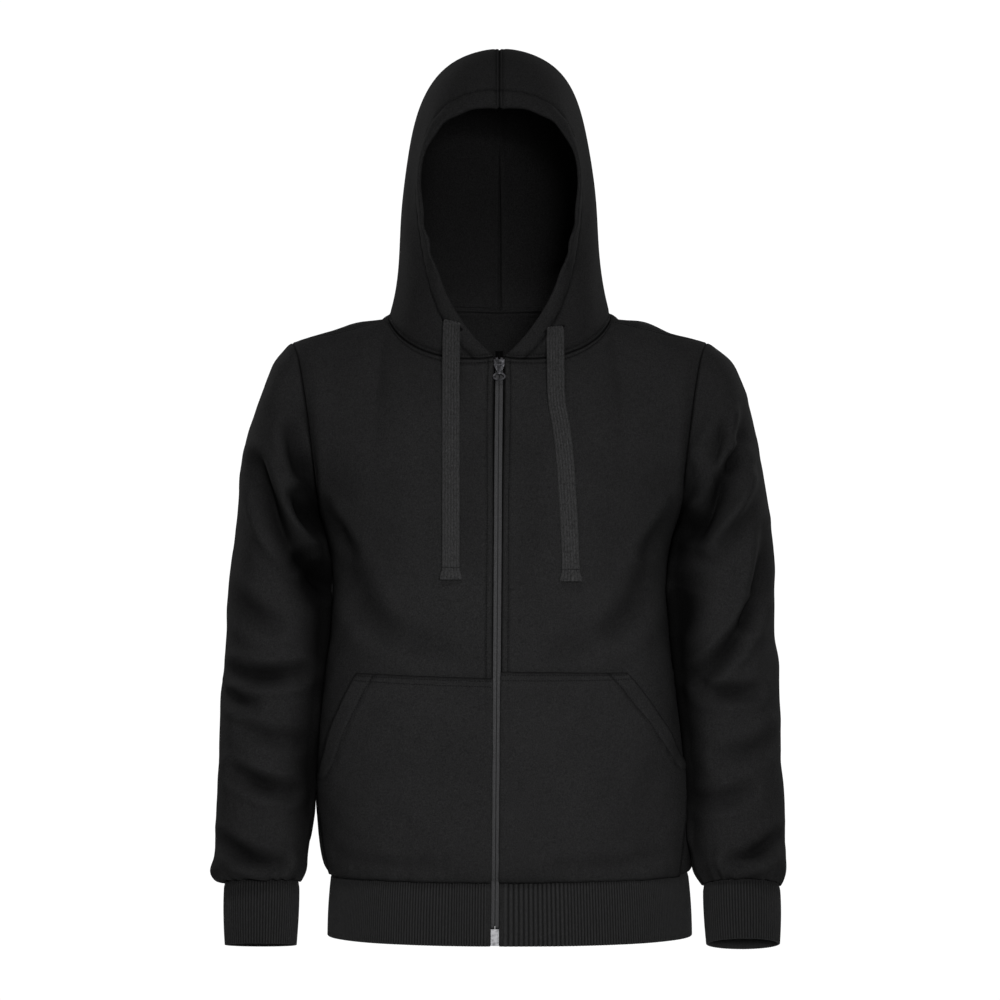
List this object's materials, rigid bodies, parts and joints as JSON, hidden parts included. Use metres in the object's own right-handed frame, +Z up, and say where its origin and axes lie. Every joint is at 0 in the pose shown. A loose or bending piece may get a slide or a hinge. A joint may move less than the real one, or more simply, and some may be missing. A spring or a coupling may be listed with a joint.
{
  "type": "zip up hoodie, hollow as worn, held up by the wearer",
  "caption": "Hooded zip-front sweatshirt with split pouch pocket, set-in sleeves, ribbed cuffs and hem, hood up.",
  "frame": {"origin": "on the centre plane at the base of the neck, where the wearer's shoulders hold the garment up", "axes": "+Z up along the body, -Y is the front with the zip, +X is the wearer's left"},
  "size_m": [0.6145, 0.2343, 0.9674],
  "materials": {
    "fleece": "black brushed cotton fleece, matt",
    "rib": "black 1x1 rib knit, matt",
    "cord": "black flat braided cotton cord",
    "zip_tape": "black woven zip tape and coil",
    "zip_metal": "polished zinc"
  },
  "bodies": {
    "garment": {"front_left": "fleece", "front_right": "fleece", "back": "fleece", "sleeve_left": "fleece", "sleeve_right": "fleece", "sleeve_lower_left": "fleece", "sleeve_lower_right": "fleece", "hood_left": "fleece", "hood_right": "fleece", "pocket_left": "fleece", "pocket_right": "fleece", "cuff_left": "rib", "cuff_right": "rib", "hem_band": "rib", "zip_tape_left": "zip_tape", "zip_tape_right": "zip_tape", "zip_chain": "zip_tape", "zip_slider": "zip_metal", "zip_stop_left": "zip_metal", "zip_stop_right": "zip_metal", "zip_box": "zip_metal", "drawcord_left": "cord", "drawcord_right": "cord", "drawcord_tip_left": "cord", "drawcord_tip_right": "cord"},
    "pull_tab": {"zip_pull_tab": "zip_metal"}
  },
  "joints": [
    {"name": "pull_tab_hinge", "type": "hinge", "parent": "garment", "child": "pull_tab", "pos_m": [-0.00039, -0.09794, -0.0532], "axis": [-1, 0, 0], "range_deg": [0, 165]}
  ]
}
